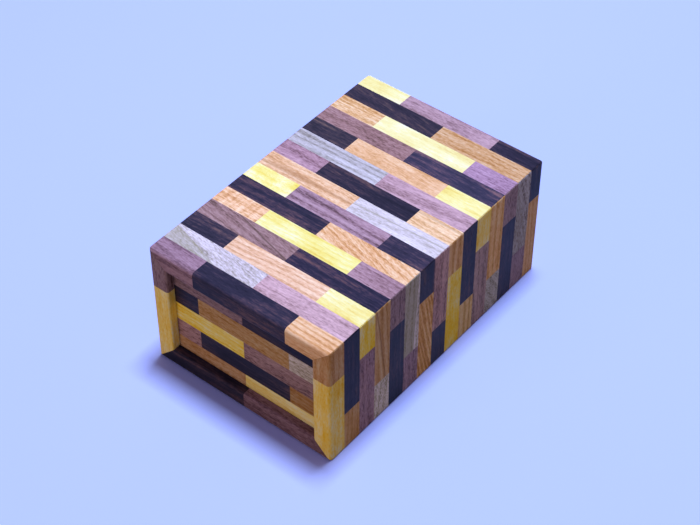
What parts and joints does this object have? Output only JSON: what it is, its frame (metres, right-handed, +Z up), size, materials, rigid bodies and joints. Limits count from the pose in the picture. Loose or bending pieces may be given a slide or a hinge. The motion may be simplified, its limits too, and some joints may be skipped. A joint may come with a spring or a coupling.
{
  "type": "sliding lid wooden box",
  "caption": "Small wooden mosaic box: a mitred tube whose top wall slides off to the rear once the recessed front panel is down.",
  "frame": {"origin": "middle of the underside", "axes": "+X to the right seen from the recessed front panel, +Y to the rear along the lid's travel, +Z up"},
  "size_m": [0.068, 0.104, 0.046],
  "materials": {
    "walnut": "fine sanded, bare or lightly waxed",
    "wenge": "fine sanded, bare or lightly waxed",
    "keyaki": "fine sanded, bare or lightly waxed",
    "haze": "fine sanded, bare or lightly waxed",
    "magnolia": "fine sanded, bare or lightly waxed",
    "plain_wood": "planed, bare",
    "hardwood": "fine sanded, bare or lightly waxed"
  },
  "bodies": {
    "box_body": {"left_wall_walnut": "walnut", "left_wall_wenge": "wenge", "left_wall_keyaki": "keyaki", "left_wall_haze": "haze", "left_wall_magnolia": "magnolia", "right_wall_walnut": "walnut", "right_wall_wenge": "wenge", "right_wall_keyaki": "keyaki", "right_wall_haze": "haze", "right_wall_magnolia": "magnolia", "bottom_wall_walnut": "walnut", "bottom_wall_wenge": "wenge", "bottom_wall_keyaki": "keyaki", "bottom_wall_haze": "haze", "bottom_wall_magnolia": "magnolia", "rear_panel_walnut": "walnut", "rear_panel_wenge": "wenge", "rear_panel_keyaki": "keyaki", "rear_panel_haze": "haze", "rear_panel_magnolia": "magnolia", "inner_floor": "plain_wood", "inner_left_board": "plain_wood", "inner_right_board": "plain_wood", "inner_front_board": "plain_wood", "inner_rear_board": "plain_wood"},
    "lid": {"lid_walnut": "walnut", "lid_wenge": "wenge", "lid_keyaki": "keyaki", "lid_haze": "haze", "lid_magnolia": "magnolia", "lid_runner_left": "hardwood", "lid_runner_right": "hardwood", "lid_stop_pin": "hardwood"},
    "front_panel": {"front_panel_walnut": "walnut", "front_panel_wenge": "wenge", "front_panel_keyaki": "keyaki", "front_panel_haze": "haze", "front_panel_magnolia": "magnolia"}
  },
  "joints": [
    {"name": "lid_slide", "type": "slide", "parent": "box_body", "child": "lid", "axis": [0, 1, 0], "range_m": [0, 0.0774]},
    {"name": "front_panel_slide", "type": "slide", "parent": "box_body", "child": "front_panel", "axis": [0, 0, 1], "range_m": [0, 0.0018]}
  ]
}
